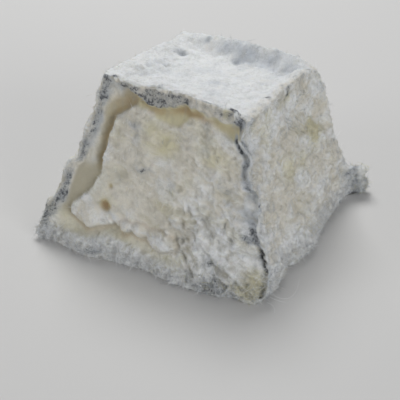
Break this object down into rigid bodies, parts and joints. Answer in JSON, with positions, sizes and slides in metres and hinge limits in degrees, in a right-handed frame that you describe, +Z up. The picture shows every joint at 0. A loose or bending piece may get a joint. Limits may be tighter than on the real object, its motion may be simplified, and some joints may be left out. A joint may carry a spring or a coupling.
{
  "type": "goat cheese pyramid",
  "caption": "Ripened goat cheese in the form of a truncated pyramid, with a slumped, wrinkled rind of ash and white mould and a flat underside to rest on.",
  "frame": {"origin": "on the flat underside, under the middle of the pyramid", "axes": "+Z up out of the underside, the face with the raised plate of rind looks to -Y, the ear of rind sticks out at the +X +Y corner of the base"},
  "size_m": [0.0835, 0.0867, 0.055],
  "materials": {
    "ash_rind": "dry wrinkled rind, cream grey with white mould and dark ash, no gloss"
  },
  "bodies": {
    "root": {"goat_cheese": "ash_rind"}
  },
  "joints": []
}
